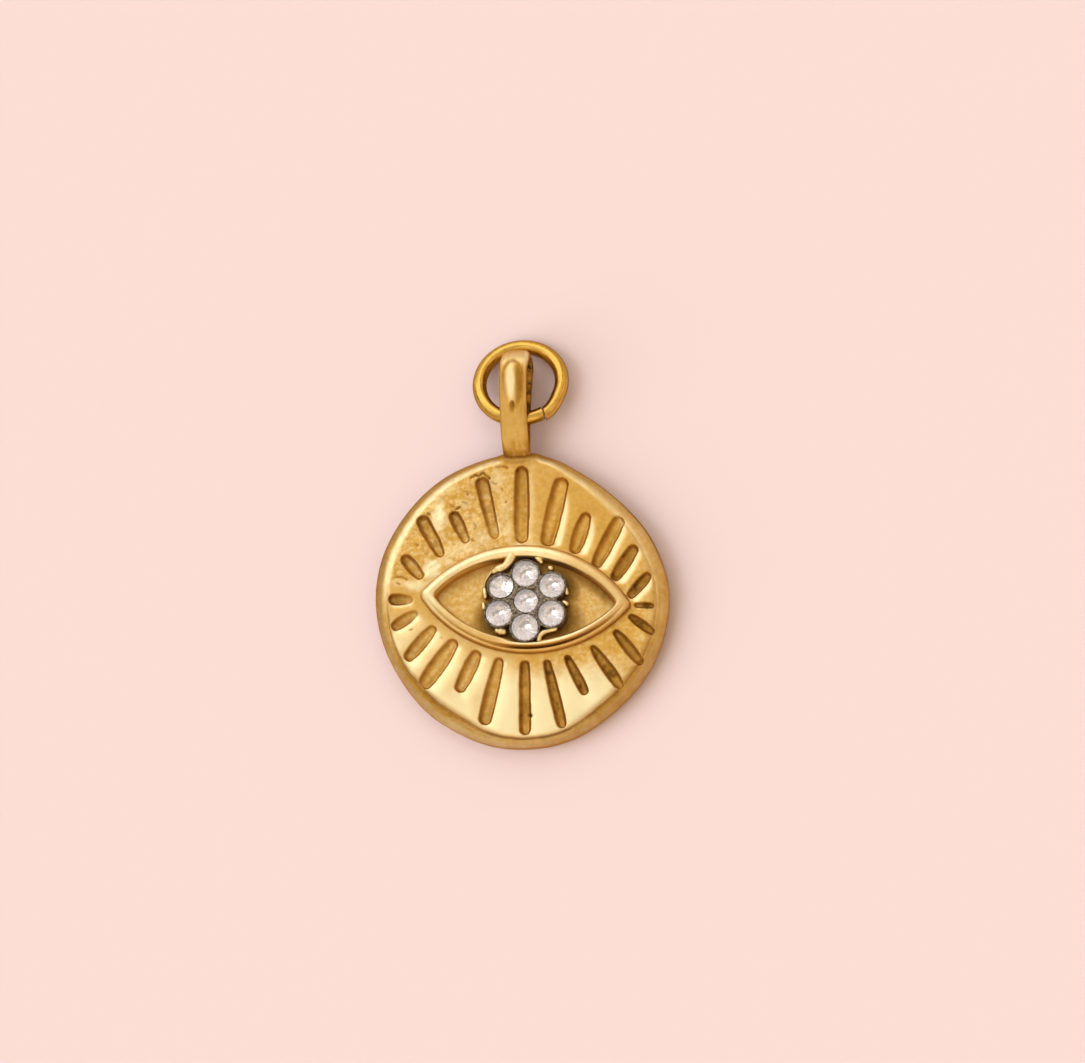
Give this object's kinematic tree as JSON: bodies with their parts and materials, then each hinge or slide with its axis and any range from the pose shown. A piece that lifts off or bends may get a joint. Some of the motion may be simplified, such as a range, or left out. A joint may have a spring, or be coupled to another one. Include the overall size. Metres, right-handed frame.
{
  "type": "eye charm",
  "caption": "Round cast charm with a raised almond eye, cut rays, a cluster of round cut stones, a loop bail and a jump ring, lying on its flat back.",
  "frame": {"origin": "on the flat back of the disc, at the middle of the disc; the charm lies on this back", "axes": "+Z out of the face, +Y from the disc towards the bail and the jump ring, +X to the right of someone who looks at the face"},
  "size_m": [0.0168, 0.0243, 0.003],
  "materials": {
    "gold_plated_brass": "cast brass, gold plated, part polished and part matt, antiqued in the hollows",
    "oxidised_setting": "cast, grainy, blackened",
    "cut_crystal": "faceted, polished",
    "gold_plated_wire": "drawn wire, gold plated, polished"
  },
  "bodies": {
    "root": {"medallion": "gold_plated_brass", "stone_setting": "oxidised_setting", "stone_centre": "cut_crystal", "stone_top": "cut_crystal", "stone_upper_right": "cut_crystal", "stone_lower_right": "cut_crystal", "stone_bottom": "cut_crystal", "stone_lower_left": "cut_crystal", "stone_upper_left": "cut_crystal", "jump_ring": "gold_plated_wire"}
  },
  "joints": []
}
